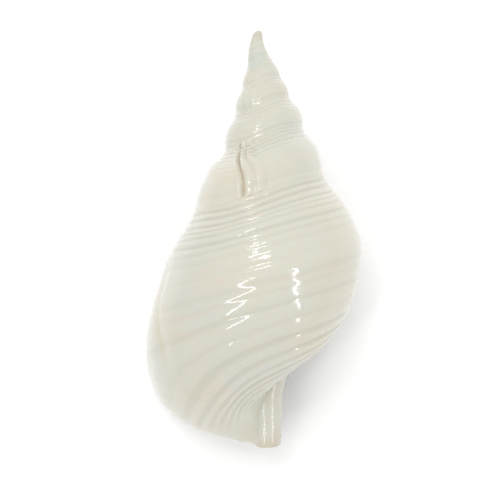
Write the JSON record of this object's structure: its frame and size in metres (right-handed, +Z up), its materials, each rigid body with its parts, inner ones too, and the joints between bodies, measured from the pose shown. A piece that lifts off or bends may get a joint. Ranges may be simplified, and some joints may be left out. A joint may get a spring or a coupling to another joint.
{
  "type": "conch shell",
  "caption": "Polished spiral sea shell with a tall pointed spire, a swollen last whorl with low spiral cords, a flared lip round a wide mouth and a short open canal.",
  "frame": {"origin": "centre of the bounding box in plan, on the surface the shell lies on", "axes": "+Z up from the surface, the back of the shell on top and its mouth down; +Y toward the pointed tip of the spire, the canal end at -Y; +X to the right when looking down on the back with the tip away, the flared lip at -X"},
  "size_m": [0.11, 0.1972, 0.0794],
  "materials": {
    "shell": "polished cream white with faint pink bands"
  },
  "bodies": {
    "root": {"shell": "shell"}
  },
  "joints": []
}
